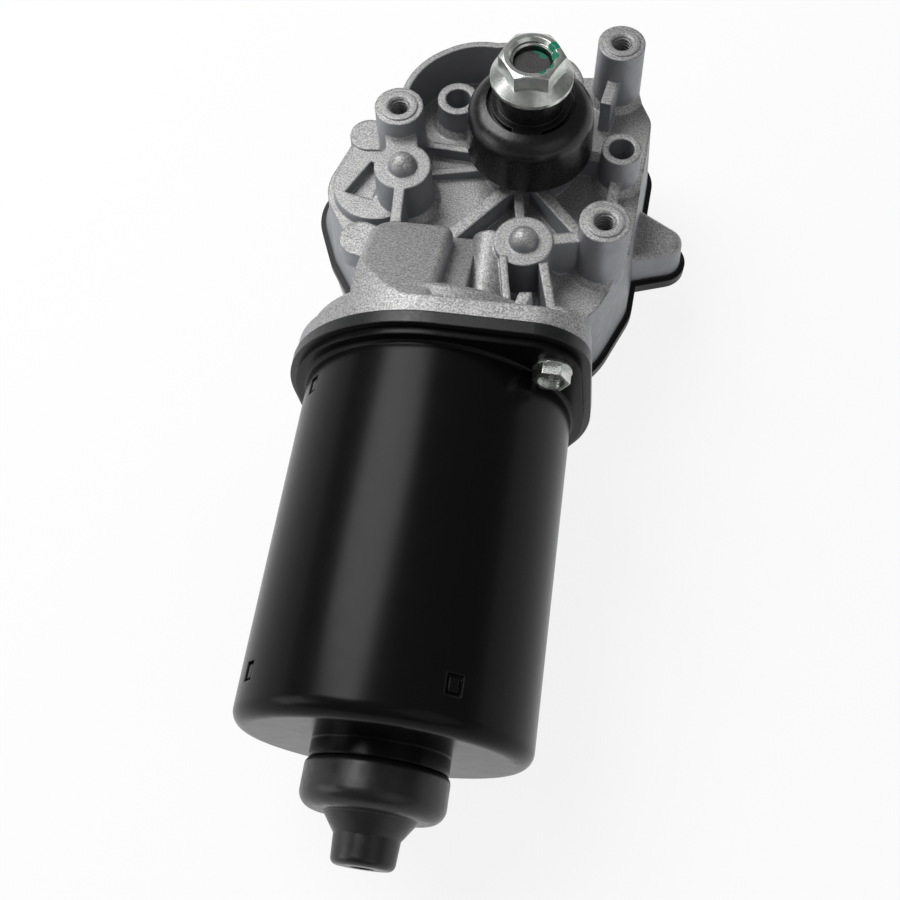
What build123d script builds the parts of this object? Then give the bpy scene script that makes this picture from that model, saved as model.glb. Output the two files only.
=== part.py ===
"""Windscreen wiper gear motor: a can motor whose twin-thread worm drives two counter
gears, which both turn one output gear.  Millimetres, +Z up along the output shaft, the
origin where the shaft's axis crosses the plane of the three mounting bosses.  The motor
lies along -Y from the gear case."""
from build123d import *
import os
from math import acos, atan2, cos, degrees, hypot, pi, radians, sin, sqrt, tan

# ---------------------------------------------------------------- fits and clearances
running_fit = 0.04        # radial, between a turning shaft and its bush
snug_fit = 0.02           # radial, between pieces that stay together
moving_gap = 0.3          # between pieces that move past each other without touching

# ---------------------------------------------------------------- gear train
module = 1.0
pressure_angle = radians(20)
backlash = 0.2
output_teeth = 48
pinion_teeth = 20
wheel_teeth = 25
worm_pitch_radius = 3.9
worm_turns = 5            # odd, so that the middle turn faces the wheel
tip_clearance = 0.25
output_face_width = 7.0
pinion_face_width = 9.5
wheel_face_width = 8.0

wheel_pitch_radius = module * wheel_teeth / 2
pinion_pitch_radius = module * pinion_teeth / 2
output_pitch_radius = module * output_teeth / 2
wheel_tip_radius = wheel_pitch_radius + module
worm_tip_radius = worm_pitch_radius + 0.9 * module
worm_root_radius = worm_pitch_radius - 1.15 * module
worm_pitch = pi * module
worm_lead_slope = worm_pitch / (2 * pi * worm_pitch_radius)
gear_centres = output_pitch_radius + pinion_pitch_radius
worm_centres = wheel_pitch_radius + worm_pitch_radius

# the motor's axis runs along Y beside the output shaft
motor_x = -14.2
motor_z = -27.0
left_pin_x = motor_x - worm_centres
right_pin_x = motor_x + worm_centres
left_pin = (left_pin_x, -sqrt(gear_centres**2 - left_pin_x**2))
right_pin = (right_pin_x, -sqrt(gear_centres**2 - right_pin_x**2))

wheel_top = motor_z + wheel_face_width / 2
wheel_bottom = motor_z - wheel_face_width / 2
pinion_bottom = wheel_bottom - pinion_face_width
worm_to_gear_gap = 1.2
output_gear_top = motor_z - worm_tip_radius - worm_to_gear_gap
output_gear_bottom = output_gear_top - output_face_width

# ---------------------------------------------------------------- gear case levels
roof_top = -18.5
roof_thickness = 3.0
ceiling = roof_top - roof_thickness
seal_plane = -43.0
case_wall = 3.2
case_draft = 4.0
boss_draft = 1.2

# the case outline at the seal plane: rounds (x, y, radius) whose hulls are joined
main_rounds = [(0, 0, 31.0), (24, 17, 9.0), (20.9, 28, 7.0), (-15, 10, 20.9),
               (3.9, -31.2, 22.7), (17.3, -24.2, 13.0)]
side_rounds = [(-43.5, -4, 14.0), (-38.5, -12.5, 15.2), (-30, -36, 9.0), (0, 0, 20.0)]
# the left lobe leans in much more than the draft, so its rounds at the roof differ
side_roof_rounds = [(-39.5, -2, 9.3), (-38.3, -12.5, 13.5), (-30, -36, 7.3), (0, 0, 18.3)]

# ---------------------------------------------------------------- bosses on the roof
mount_thread_radius = 2.5        # M6, modelled at its minor diameter
mount_mouth_radius = 3.0
mount_face_radius = 4.7          # machined face, proud of the cast boss
mount_face_height = 0.3
mount_boss_radius = 6.15
mount_boss_a = (-33.55, 0.15)
mount_boss_b = (21.17, -29.41)
mount_boss_c = (20.88, 27.95)
tall_boss_foot = -32.0
mount_holes = [(mount_boss_a, 14.0), (mount_boss_b, 12.0), (mount_boss_c, 16.0)]
boss_foot_flare = 1.6

pin_radius = 3.0
pin_boss_radius = 7.17
pin_boss_top = -5.0
pin_dome_radius = 3.6
pin_end_cover = 1.5              # metal left over the end of a pin

socket_d = (-20.5, 13.2)
socket_d_top = -10.0
socket_d_radius = 5.45
socket_e = (23.65, -1.4)
socket_e_top = -7.0
socket_e_radius = 5.1
socket_bore_radius = 3.3
socket_depth = 8.0

centre_boss_radius = 12.0
centre_boss_top = -4.0
inner_boss_radius = 9.5

lip_top = -5.0
lip_thickness = 1.7

# ---------------------------------------------------------------- brush-lead chamber
block_foot = -40.0
block_head = 14.0
block_rounds = [(-28.6, -38.0, 7.0), (-17.9, -34.5, 3.5), (-33.6, -64.0, 2.0), (-16.4, -64.0, 2.0)]
block_draft = 2.0
block_rear = -31.0
block_rear_top = -5.0
block_slope_rise = 13.5          # the top climbs 13.5 in 29 towards the collar
block_slope_run = 29.0
block_edge_round = 2.0
shelf_width = 5.0                # a lower shelf beside the chamber, with the same slope
shelf_drop = 5.0

# ---------------------------------------------------------------- roof details
lip_arc = ((-33.9, 8.0), (-31.4, 17.4), (-24.7, 24.7))
lip_arcs_on = (((-18.6, 27.7), (-12.0, 28.2)), ((-1.0, 28.0), (8.2, 23.8)),
               ((10.4, 20.6), (11.4, 15.5)))
roof_ribs = [                    # start, end, top, width
    (mount_boss_a, left_pin, -5.0, 8.0),
    (left_pin, (-29.4, -34.0), -5.0, 2.6),
    ((-1.0, -9.0), (-18.2, -31.5), -12.0, 3.4),
    ((1.0, -9.0), (17.0, -27.0), -12.0, 3.0),
    ((-2.0, -9.0), right_pin, -13.5, 2.4),
    (right_pin, mount_boss_b, -5.5, 3.0),
    ((-2.2, -39.0), (1.2, -56.0), -4.5, 1.8),
    ((7.6, -40.0), (11.8, -56.0), -4.5, 2.2),
    ((-27.0, 1.2), (-11.5, 0.2), -15.0, 2.0),
    ((-26.0, -7.3), (-11.0, -4.0), -16.0, 2.0),
    ((12.0, 0.5), socket_e, -12.0, 3.0),
    (mount_boss_c, (18.5, 14.0), -8.0, 3.0),
    (mount_boss_b, socket_e, -14.0, 3.0),
]
roof_pads = [                    # rounds, top
    ([(-43.2, 2.6, 5.4), (-36, 2, 4.0)], -15.0),
    ([(-39.5, -31.5, 5.5), (-30, -34, 5.0)], -14.0),
    ([(3.4, -54.0, 1.6), (6.2, -53.6, 1.6), (2.6, -57.0, 1.6), (5.4, -58.2, 1.6)], 3.2),
]
lobe_step_rounds = [(-39.5, -3.0, 7.8), (-38.5, -13.0, 11.6)]
lobe_step_top = -15.5
lobe_pocket = [(-41.2, -5.8), (-46.4, -16.5), (-38.9, -18.0), (-35.0, -8.0)]
tunnel_x = -5.7
tunnel_z = -11.0
tunnel_back = -31.0
tunnel_radius = 5.0
bearing_wall_back = -48.4
bearing_wall_left = -32.0
bearing_wall_right = 4.0
bearing_tube_back = -46.0
tip_block_back = 7.0
tip_block_front = -4.0
tip_block_wall = 1.4
worm_tunnel_gap = 0.6

# ---------------------------------------------------------------- lug on the right side
lug_top = -33.5
lug_rounds = [(38.5, -8.6, 5.3), (29, -2, 4.5), (27, -13.6, 4.2)]
lug_edge_round = 2.0

# ---------------------------------------------------------------- cover screws
cover_screw_spots = [(37.2, -8.0), (24.5, 20.5), (-27.5, 23.0), (-50.5, 1.5), (-31.5, -36.0),
                     (21.5, -37.5)]
cover_screw_radius = 2.0
cover_screw_length = 11.0
cover_screw_column = 4.6
cover_screw_head_radius = 4.0
cover_screw_head_height = 2.6
screw_hole_gap = 0.15

# ---------------------------------------------------------------- output shaft
shaft_radius = 6.0
shaft_bottom = -47.0
taper_start = 2.0
taper_end = 12.5
taper_end_radius = 5.3
thread_radius = 5.0
shaft_top = 18.5
serration_count = 30
serration_depth = 0.45
serration_width = 0.9
shaft_end_chamfer = 0.8
shaft_bush_radius = 8.0
shaft_bush_length = 10.0
oring_section_radius = 0.85
circlip_thickness = 1.0
circlip_radius = 8.0
circlip_groove_depth = 0.5
washer_thickness = 0.8
oring_room = 1.9
washer_radius = 9.5

# ---------------------------------------------------------------- motor along Y
collar_back = -61.0
collar_front = -65.5
collar_step = 0.5                # the collar stands in from the brush plate's rim
collar_bore_radius = 28.0
bell_back = -55.5
bell_radius = 34.6
bell_wall = 3.0
bell_edge_round = 2.0

bearing_radius = 11.0
bearing_width = 7.0
bearing_back = -52.6
bearing_ring_thickness = 2.1
bearing_ball_count = 8
bearing_tube_radius = 15.0
bearing_tube_front = -60.2

plate_thickness = 3.0
plate_rim = 1.7                  # the plate stands out from the can's flange
plate_bore_radius = 12.5

can_radius = 32.5
can_wall = 2.0
can_end = -152.9
can_end_round = 3.5
can_flange_width = 2.9
can_flange_round = 0.9
can_flange_thickness = 2.0
can_boss_radius = 15.1
can_boss_end = -156.6
can_spigot_radius = 12.0
can_spigot_end = -162.5

ear_angle = 44.6                 # of the can screws, about the motor axis
ear_reach = 5.5                  # of the can screws, outside the can's wall
lobe_angle = 46.6                # of the rounds that carry the screws
lobe_inset = 0.2                 # of their centres, inside the can's wall
flange_lobe_radius = 11.4
plate_lobe_radius = 13.4
collar_ear_radius = 7.6
collar_ear_back = -59.3
can_screw_radius = 2.5
can_screw_length = 14.0
can_screw_washer_radius = 4.5
can_screw_washer_thickness = 1.0
can_screw_head_flats = 7.4
can_screw_head_height = 2.7
can_screw_dish = 0.8             # round hollow in the head, and the rim round it
cross_slot_width = 0.9

lance_from_end = 9.4
lance_from_flange = 6.0
lance_length = 4.2
lance_width = 3.6
lance_depth = 0.9
lance_frame = 0.7                # the tab inside is cut free all round
lance_tab_depth = 0.25

# ---------------------------------------------------------------- vent boot
boot_cap_radius = 15.6
boot_cap_end = -166.5
boot_cap_back_round = 1.4
boot_cap_front_round = 3.6
boot_nozzle_base_radius = 10.1
boot_nozzle_mid_radius = 7.1
boot_nozzle_mid = -170.5
boot_nozzle_radius = 6.7
boot_end = -176.5
boot_vent_radius = 2.6
boot_wall = 2.0
boot_end_round = 1.5

# ---------------------------------------------------------------- armature
armature_shaft_radius = 4.0
worm_tip_pin_radius = 3.0
worm_tip_end = 0.6
worm_bush_radius = 4.5
worm_bush_length = 7.0
thrust_ball_radius = 2.0
thrust_space = 2.5
core_front = -87.0
core_back = -133.0
core_slots = 12
core_slot_width = 4.0
core_slot_depth = 10.0
winding_overhang = 6.0
winding_inset = 2.3
winding_inner_radius = 9.0
commutator_radius = 11.0
commutator_front = -63.5
commutator_gap = 2.0
commutator_bars = 24
commutator_slit = 0.6
commutator_slit_depth = 1.0
armature_shaft_end = -160.0
winding_slot_gap = 0.2
rear_bush_radius = 9.0
rear_bush_length = 7.0
magnet_thickness = 6.0
magnet_gap = 0.6
magnet_overhang = 4.0
magnet_arc = 130.0

# ---------------------------------------------------------------- brushes
brush_angles = (90.0, 210.0, 270.0)
brush_width = 5.0
brush_depth = 6.0
brush_length = 8.0
brush_tube_wall = 0.8
brush_tube_length = 15.0
brush_tube_start = 13.0
spring_radius = 1.7
spring_wire = 0.5
spring_turns = 5
choke_angles = (150.0, 330.0)
choke_distance = 21.0
choke_radius = 1.6
choke_length = 9.5
choke_end_bare = 1.5
choke_wire = 0.9

# ---------------------------------------------------------------- cover and connector
gasket_thickness = 0.6
gasket_grow = 0.3
cover_grow = 1.5
cover_rim = 3.0
cover_floor = 1.6
cover_bell_gap = 0.4
cover_cup_radius = 9.0
carrier_thickness = 1.4
contact_ring_outer = 20.0
contact_ring_inner = 13.0
contact_ring_thickness = 0.8
park_gap_length = 10.0
park_gap_width = 8.0
contact_carrier_y = 16.5
contact_strip_width = 1.6
contact_strip_thickness = 0.4
contact_strip_pitch = 2.4

connector_rounds = [(-43.5, -8, 13.2), (-38.5, -13, 15.4), (-30, -8, 8.0)]
connector_depth = 11.0
socket_width = 17.0
socket_height = 6.6
socket_wall = 1.6
socket_mouth = 10.0
socket_mouth_depth = 11.0
socket_centre_x = -36.0
blade_count = 4
blade_pitch = 3.9
blade_width = 1.6
blade_thickness = 0.8
blade_length = 6.0

# ---------------------------------------------------------------- shaft cap and crank nut
cap_radius = 16.2
cap_bottom = -9.0
cap_shoulder = 4.6
cap_shoulder_round = 5.0
cap_skirt_bore = 12.8
cap_ceiling = -1.4
cap_step_radius = 11.0
cap_step_top = 6.2
cap_groove_width = 1.0
cap_groove_depth = 1.3
cap_tab_width = 7.0
cap_neck_radius = 8.3
cap_neck_top = 13.5
cap_wall_lean = 0.5
cap_bore_gap = 0.08

nut_flats = 14.0
nut_flange_radius = 10.06
nut_flange_rim = 1.1
nut_flange_height = 3.2
nut_bottom = 13.8
nut_top = 21.3
nut_turn = 4.5
nut_crown_drop = 3.2
nut_mouth_chamfer = 0.7

# ---------------------------------------------------------------- derived places
can_flange_radius = can_radius + can_flange_width
plate_radius = can_flange_radius + plate_rim
collar_radius = plate_radius - collar_step
collar_lobe_radius = plate_lobe_radius - collar_step
ear_distance = can_radius + ear_reach
bolt_reach = (ear_distance * cos(radians(ear_angle)), ear_distance * sin(radians(ear_angle)))
can_screw_spots = [(motor_x + side * bolt_reach[0], motor_z + side * bolt_reach[1])
                   for side in (1, -1)]
lobe_distance = can_radius - lobe_inset
lobe_reach = (lobe_distance * cos(radians(lobe_angle)), lobe_distance * sin(radians(lobe_angle)))
flange_back = collar_front - plate_thickness
flange_front = flange_back - can_flange_thickness
gasket_bottom = seal_plane - gasket_thickness
cover_bottom = gasket_bottom - cover_rim
cover_inside = cover_bottom + cover_floor
magnet_radius = can_radius - can_wall - snug_fit
core_radius = magnet_radius - magnet_thickness - magnet_gap
winding_radius = core_radius - winding_inset
commutator_back = core_front + winding_overhang + commutator_gap
magnet_front = core_front + magnet_overhang
magnet_back = core_back - magnet_overhang
lances = [(61.5, can_end + lance_from_end), (147.5, can_end + lance_from_end),
          (241.5, can_end + lance_from_end), (327.5, can_end + lance_from_end),
          (148.0, flange_front - lance_from_flange), (328.0, flange_front - lance_from_flange)]
washer_bottom = centre_boss_top + running_fit
circlip_bottom = washer_bottom + washer_thickness + snug_fit
rear_bush_end = can_spigot_end + can_wall
inner_boss_bottom = output_gear_top + moving_gap
worm_bush_start = tip_block_front + worm_bush_length + thrust_space


def axial(y):
    """Plane across the motor axis at y, its X along +X and its normal along -Y."""
    return Plane(origin=(motor_x, y, motor_z), x_dir=(1, 0, 0), z_dir=(0, -1, 0))


def tube(y_start, y_end, radius, mode=Mode.ADD):
    """A cylinder on the motor axis from y_start to y_end."""
    with BuildSketch(axial(y_start)) as section:
        Circle(radius)
    extrude(section.sketch, amount=y_start - y_end, mode=mode)


def side_post(spot, y_start, y_end, radius, mode=Mode.ADD):
    """A cylinder along Y whose axis stands at spot = (x, z)."""
    with BuildSketch(Plane(origin=(spot[0], y_start, spot[1]), x_dir=(1, 0, 0),
                           z_dir=(0, -1, 0))) as section:
        Circle(radius)
    extrude(section.sketch, amount=y_start - y_end, mode=mode)


def boss(spot, top, bottom, radius):
    """A drafted round boss standing on the roof."""
    height = top - bottom
    with Locations((*spot, top)):
        Cone(radius + height * tan(radians(boss_draft)), radius, height,
             align=(Align.CENTER, Align.CENTER, Align.MAX))


def rib(start, end, top, bottom, width):
    """A straight rib from start to end."""
    length = hypot(end[0] - start[0], end[1] - start[1])
    turn = degrees(atan2(end[1] - start[1], end[0] - start[0]))
    middle = ((start[0] + end[0]) / 2, (start[1] + end[1]) / 2, top)
    with Locations(Location(middle, (0, 0, turn))):
        Box(length, width, top - bottom, align=(Align.CENTER, Align.CENTER, Align.MAX))


def post(spot, top, bottom, radius, mode=Mode.ADD):
    """An upright cylinder."""
    with Locations((*spot, top)):
        Cylinder(radius, top - bottom, align=(Align.CENTER, Align.CENTER, Align.MAX), mode=mode)


def hull_of(rounds, grow):
    """The outline that wraps a group of rounds, grown outwards."""
    with BuildSketch() as wrapped:
        for x, y, radius in rounds:
            with Locations((x, y)):
                Circle(radius + grow)
        make_hull()
    return wrapped.sketch


def full_outline(grow):
    """The gear case's outline at the seal plane, with its lug."""
    with BuildSketch() as outline:
        for rounds in (main_rounds, side_rounds, lug_rounds):
            add(hull_of(rounds, grow))
    return outline.sketch


def lobed_outline(radius, lobe_radius):
    """A round outline with the two lobes for the can screws, seen along the motor axis."""
    lobes = [(side * lobe_reach[0], side * lobe_reach[1], lobe_radius) for side in (1, -1)]
    return hull_of([(0, 0, radius), *lobes], 0)


def block_between(foot_rounds, bottom, head_rounds, top):
    """An upright block whose outline changes from foot_rounds to head_rounds."""
    with BuildSketch(Plane.XY.offset(bottom)) as foot:
        add(hull_of(foot_rounds, 0))
    with BuildSketch(Plane.XY.offset(top)) as head:
        add(hull_of(head_rounds, 0))
    loft(foot.sketch.faces() + head.sketch.faces())


def drafted_block(rounds, bottom, top):
    """An upright block on a group of rounds, narrower towards its top."""
    lean = (top - bottom) * tan(radians(case_draft))
    block_between(rounds, bottom, [(x, y, radius - lean) for x, y, radius in rounds], top)


def shrunk(rounds):
    """The same rounds drawn in by the wall of the case."""
    return [(x, y, radius - case_wall) for x, y, radius in rounds]


def tooth_half_angle(teeth, radius):
    """Half the angle that an involute tooth fills at a radius."""
    pitch_radius = module * teeth / 2
    base_radius = pitch_radius * cos(pressure_angle)
    there = acos(base_radius / radius) if radius > base_radius else 0
    return ((pi * module - backlash) / 4 / pitch_radius
            + tan(pressure_angle) - pressure_angle - (tan(there) - there))


def gear_sketch(teeth, phase):
    """A spur gear's outline with one tooth centred on the angle phase, in degrees."""
    pitch_radius = module * teeth / 2
    radii = (pitch_radius - (1 + tip_clearance) * module, pitch_radius - module / 3,
             pitch_radius + module / 3, pitch_radius + module)
    points = []
    for tooth in range(teeth):
        centre = radians(phase) + 2 * pi * tooth / teeth
        flank = [(r, tooth_half_angle(teeth, r)) for r in radii]
        points += [(r * cos(centre - half), r * sin(centre - half)) for r, half in flank]
        points += [(r * cos(centre + half), r * sin(centre + half)) for r, half in reversed(flank)]
    with BuildSketch() as outline:
        Polygon(*points, align=None)
    return outline.sketch


os.makedirs("parts", exist_ok=True)


def save(builder, name):
    """Label a finished piece and write it to its own file."""
    builder.part.label = name
    export_step(builder.part, f"parts/{name}.step")


# ================================================================ gear housing
roof_lean = (roof_top - seal_plane) * tan(radians(case_draft))
with BuildPart() as boss_feet:
    for spot, top, radius in ((mount_boss_a, 0, mount_boss_radius),
                              (mount_boss_b, 0, mount_boss_radius),
                              (mount_boss_c, 0, mount_boss_radius),
                              (left_pin, pin_boss_top, pin_boss_radius),
                              (right_pin, pin_boss_top, pin_boss_radius),
                              (socket_d, socket_d_top, socket_d_radius),
                              (socket_e, socket_e_top, socket_e_radius)):
        foot_radius = radius + (top - roof_top) * tan(radians(boss_draft))
        with Locations((*spot, roof_top)):
            Cone(foot_radius + boss_foot_flare, foot_radius, boss_foot_flare,
                 align=(Align.CENTER, Align.CENTER, Align.MIN))
    with BuildSketch(Plane.XY.offset(roof_top)):
        add(hull_of(main_rounds, -roof_lean))
        add(hull_of(side_roof_rounds, 0))
    extrude(amount=boss_foot_flare, mode=Mode.INTERSECT)

with BuildPart() as roof_details:
    drafted_block(lobe_step_rounds, roof_top - 1, lobe_step_top)
    with BuildSketch(Plane.XY.offset(roof_top)):
        Polygon(*lobe_pocket, align=None)
    extrude(amount=lobe_step_top - roof_top, mode=Mode.SUBTRACT)
    for spot in (mount_boss_a, mount_boss_b):
        boss(spot, -mount_face_height, roof_top - 1, mount_boss_radius)
    boss(mount_boss_c, -mount_face_height, tall_boss_foot, mount_boss_radius)
    for spot in (mount_boss_a, mount_boss_b, mount_boss_c):
        post(spot, 0, roof_top, mount_face_radius)
    for spot in (left_pin, right_pin):
        boss(spot, pin_boss_top, roof_top - 1, pin_boss_radius)
        with Locations((*spot, pin_boss_top)):
            Sphere(pin_dome_radius)
    boss(socket_d, socket_d_top, roof_top - 1, socket_d_radius)
    boss(socket_e, socket_e_top, roof_top - 1, socket_e_radius)
    post((0, 0), centre_boss_top, roof_top - 1, centre_boss_radius)
    with BuildSketch(Plane.XY.offset(roof_top - 1)):
        with BuildLine():
            ThreePointArc(*lip_arc)
            lip_end = lip_arc[-1]
            for middle, end in lip_arcs_on:
                ThreePointArc(lip_end, middle, end)
                lip_end = end
        trace(line_width=lip_thickness)
    extrude(amount=lip_top - roof_top + 1)
    for start, end, top, width in roof_ribs:
        rib(start, end, top, roof_top - 1, width)
    for rounds, top in roof_pads:
        drafted_block(rounds, roof_top - 1, top)
    side_post((tunnel_x, tunnel_z), tunnel_back, bell_back, tunnel_radius)

with BuildPart() as gear_cavity:
    drafted_block(shrunk(main_rounds), seal_plane, ceiling)
    block_between(shrunk(side_rounds), seal_plane, shrunk(side_roof_rounds), ceiling)
    with Locations(((bearing_wall_left + bearing_wall_right) / 2, bearing_wall_back, ceiling + 1)):
        Box(bearing_wall_right - bearing_wall_left, bearing_wall_back - bell_back,
            ceiling - seal_plane + 2, align=(Align.CENTER, Align.MAX, Align.MAX),
            mode=Mode.SUBTRACT)
    post((0, 0), ceiling + 1, inner_boss_bottom, inner_boss_radius, mode=Mode.SUBTRACT)
    for spot in (left_pin, right_pin):
        post(spot, ceiling + 1, wheel_top + moving_gap, pin_boss_radius, mode=Mode.SUBTRACT)
    for spot in cover_screw_spots:
        post(spot, ceiling + 1, seal_plane, cover_screw_column, mode=Mode.SUBTRACT)
    with Locations((motor_x, tip_block_back, ceiling + 1)):
        Box(2 * worm_bush_radius + 2 * tip_block_wall, tip_block_back - tip_block_front,
            ceiling + 1 - inner_boss_bottom, align=(Align.CENTER, Align.MAX, Align.MAX),
            mode=Mode.SUBTRACT)

with BuildPart() as housing_bores:
    post((0, 0), centre_boss_top + 1, inner_boss_bottom - 1, shaft_bush_radius + snug_fit)
    for spot in (left_pin, right_pin):
        post(spot, pin_boss_top - pin_end_cover, wheel_bottom, pin_radius + snug_fit)
    tube(tip_block_front + 1, bearing_wall_back - 1, worm_tip_radius + worm_tunnel_gap)
    tube(worm_bush_start, tip_block_front, worm_bush_radius + snug_fit)
    tube(bearing_wall_back + 1, collar_front - 1, armature_shaft_radius + 1.5)
    with BuildSketch(axial(bell_back - bell_wall)):
        Circle(collar_bore_radius)
        Circle(bearing_tube_radius, mode=Mode.SUBTRACT)
    extrude(amount=bell_back - bell_wall - collar_front + 1)
    tube(bearing_tube_front, collar_front - 1, collar_bore_radius)
    tube(bearing_back, collar_front - 1, bearing_radius + snug_fit)
    for spot, depth in mount_holes:
        post(spot, 1, -depth, mount_thread_radius)
        with Locations((*spot, 0)):
            Cone(mount_thread_radius, mount_mouth_radius, mount_mouth_radius - mount_thread_radius,
                 align=(Align.CENTER, Align.CENTER, Align.MAX))
    post(socket_d, socket_d_top + 1, socket_d_top - socket_depth, socket_bore_radius)
    post(socket_e, socket_e_top + 1, socket_e_top - socket_depth, socket_bore_radius)
    for spot in cover_screw_spots:
        post(spot, cover_bottom + cover_screw_length + 1, seal_plane - 1,
             cover_screw_radius + snug_fit)
    for spot in can_screw_spots:
        side_post(spot, flange_front + can_screw_length + 1, collar_front - 1,
                  can_screw_radius + snug_fit)

with BuildPart() as lead_chamber:
    lean = (block_head - block_foot) * tan(radians(block_draft))
    block_between(block_rounds, block_foot,
                  [(x, y, radius - lean / 2) for x, y, radius in block_rounds], block_head)
    slope = Plane(origin=(motor_x, block_rear, block_rear_top), x_dir=(1, 0, 0),
                  z_dir=(0, block_slope_rise, block_slope_run))
    split(bisect_by=slope, keep=Keep.BOTTOM)
    tube(block_rear + block_slope_run, collar_front, collar_radius, mode=Mode.INTERSECT)
    fillet(lead_chamber.faces().filter_by(GeomType.PLANE).filter_by(
        lambda face: face.normal_at().Z > 0.6).edges(), block_edge_round)

with BuildPart() as chamber_shelf:
    with Locations((block_rounds[1][0], block_rear, block_foot)):
        Box(shelf_width + block_rounds[1][2], block_rear - bell_back, block_head - block_foot,
            align=(Align.MIN, Align.MAX, Align.MIN))
    split(bisect_by=slope.offset(-shelf_drop), keep=Keep.BOTTOM)

with BuildPart() as side_lug:
    drafted_block(lug_rounds, seal_plane, lug_top)
    fillet(side_lug.faces().sort_by(Axis.Z)[-1].edges(), lug_edge_round)

with BuildPart() as gear_housing:
    # brush-lead chamber: a sloped block over the motor's left half, cut to the collar's round
    add(lead_chamber.part)

    # bell, collar and the two ears that carry the motor
    tube(bell_back, collar_back, bell_radius)
    fillet(gear_housing.edges().filter_by(GeomType.CIRCLE).filter_by(
        lambda edge: abs(edge.radius - bell_radius) < 0.01
        and edge.center().Y > (bell_back + collar_back) / 2), bell_edge_round)
    with BuildSketch(axial(collar_back)):
        add(lobed_outline(collar_radius, collar_lobe_radius))
    extrude(amount=collar_back - collar_front)
    for spot in can_screw_spots:
        side_post(spot, collar_ear_back, collar_front, collar_ear_radius)
    tube(bearing_tube_back, bell_back, bearing_tube_radius)

    # case, lug and everything cast onto and into them
    drafted_block(main_rounds, seal_plane, roof_top)
    block_between(side_rounds, seal_plane, side_roof_rounds, roof_top)
    add(side_lug.part)
    add(chamber_shelf.part)
    add(roof_details.part)
    add(boss_feet.part)
    add(gear_cavity.part, mode=Mode.SUBTRACT)
    add(housing_bores.part, mode=Mode.SUBTRACT)
save(gear_housing, "gear_housing")

# ================================================================ cover, gasket, screws
def inner_outline(grow):
    """The outline of the gear cavity at the seal plane."""
    with BuildSketch() as outline:
        for rounds in (main_rounds, side_rounds):
            add(hull_of(rounds, grow))
    return outline.sketch


with BuildPart() as gear_cover:
    with BuildSketch(Plane.XY.offset(cover_bottom)):
        add(full_outline(cover_grow))
    extrude(amount=cover_rim)
    with BuildSketch(Plane.XY.offset(cover_inside)):
        add(inner_outline(-case_wall))
    extrude(amount=cover_rim, mode=Mode.SUBTRACT)
    for spot in cover_screw_spots:
        post(spot, gasket_bottom, cover_bottom, cover_screw_column)
    for spot in (left_pin, right_pin):
        post(spot, pinion_bottom - moving_gap, cover_bottom, pin_radius + 2)
        post(spot, pinion_bottom, cover_bottom + 1, pin_radius + snug_fit, mode=Mode.SUBTRACT)
    post((0, 0), cover_inside, shaft_bottom - moving_gap - cover_floor, cover_cup_radius)
    post((0, 0), cover_inside + 1, shaft_bottom - moving_gap, shaft_radius + moving_gap,
         mode=Mode.SUBTRACT)
    for spot in cover_screw_spots:
        post(spot, gasket_bottom + 1, cover_bottom - 1, cover_screw_radius + screw_hole_gap,
             mode=Mode.SUBTRACT)
    tube(bell_back + cover_bell_gap, collar_back, bell_radius + cover_bell_gap,
         mode=Mode.SUBTRACT)
save(gear_cover, "gear_cover")

with BuildPart() as cover_gasket:
    with BuildSketch(Plane.XY.offset(gasket_bottom)):
        add(full_outline(gasket_grow))
        add(inner_outline(-case_wall), mode=Mode.SUBTRACT)
        with Locations(*cover_screw_spots):
            Circle(cover_screw_column)
        with Locations(*cover_screw_spots):
            Circle(cover_screw_radius + screw_hole_gap, mode=Mode.SUBTRACT)
    extrude(amount=gasket_thickness)
    tube(bell_back + cover_bell_gap, collar_back, bell_radius + cover_bell_gap,
         mode=Mode.SUBTRACT)
save(cover_gasket, "cover_gasket")

with BuildPart() as cover_screws:
    for spot in cover_screw_spots:
        post(spot, cover_bottom + cover_screw_length, cover_bottom, cover_screw_radius)
        post(spot, cover_bottom, cover_bottom - cover_screw_head_height, cover_screw_head_radius)
        with Locations((*spot, cover_bottom - cover_screw_head_height)):
            Box(2 * cover_screw_radius, 0.9, 1.2, mode=Mode.SUBTRACT)
            Box(0.9, 2 * cover_screw_radius, 1.2, mode=Mode.SUBTRACT)
save(cover_screws, "cover_screws")

# ================================================================ connector
socket_middle = cover_bottom - connector_depth / 2
with BuildPart() as connector_housing:
    drafted_block(connector_rounds, cover_bottom - connector_depth, cover_bottom)
    with Locations((socket_centre_x, socket_mouth, socket_middle)):
        Box(socket_width + 2 * socket_wall, socket_mouth_depth + 6, socket_height + 2 * socket_wall,
            align=(Align.CENTER, Align.MAX, Align.CENTER))
    with Locations((socket_centre_x, socket_mouth, socket_middle)):
        Box(socket_width, socket_mouth_depth, socket_height,
            align=(Align.CENTER, Align.MAX, Align.CENTER), mode=Mode.SUBTRACT)
        with GridLocations(blade_pitch, 1, blade_count, 1):
            Box(blade_width + 2 * snug_fit, socket_mouth_depth + 5, blade_thickness + 2 * snug_fit,
                align=(Align.CENTER, Align.MAX, Align.CENTER), mode=Mode.SUBTRACT)
    for spot in cover_screw_spots:
        post(spot, cover_bottom, cover_bottom - connector_depth, cover_screw_head_radius + 0.6,
             mode=Mode.SUBTRACT)
save(connector_housing, "connector_housing")

with BuildPart() as connector_terminals:
    with Locations((socket_centre_x, socket_mouth - socket_mouth_depth + blade_length,
                    socket_middle)):
        with GridLocations(blade_pitch, 1, blade_count, 1):
            Box(blade_width, blade_length + 5, blade_thickness,
                align=(Align.CENTER, Align.MAX, Align.CENTER))
save(connector_terminals, "connector_terminals")

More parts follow.
